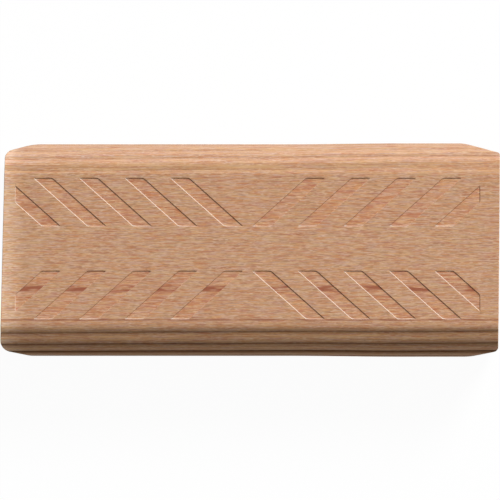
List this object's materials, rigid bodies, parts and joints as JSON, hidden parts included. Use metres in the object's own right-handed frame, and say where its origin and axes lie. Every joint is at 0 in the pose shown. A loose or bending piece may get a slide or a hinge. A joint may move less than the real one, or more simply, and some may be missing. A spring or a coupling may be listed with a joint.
{
  "type": "loose tenon",
  "caption": "Flat beech loose tenon with reeded round edges, chamfered corners and slanted glue pockets pressed into both broad faces.",
  "frame": {"origin": "middle of the broad face that the tenon lies on", "axes": "+X along the grain and the length, +Y across the width, +Z through the thickness, away from the face it lies on"},
  "size_m": [0.05, 0.0214, 0.008],
  "materials": {
    "beech": "bare steamed beech, planed and embossed"
  },
  "bodies": {
    "root": {"tenon": "beech"}
  },
  "joints": []
}
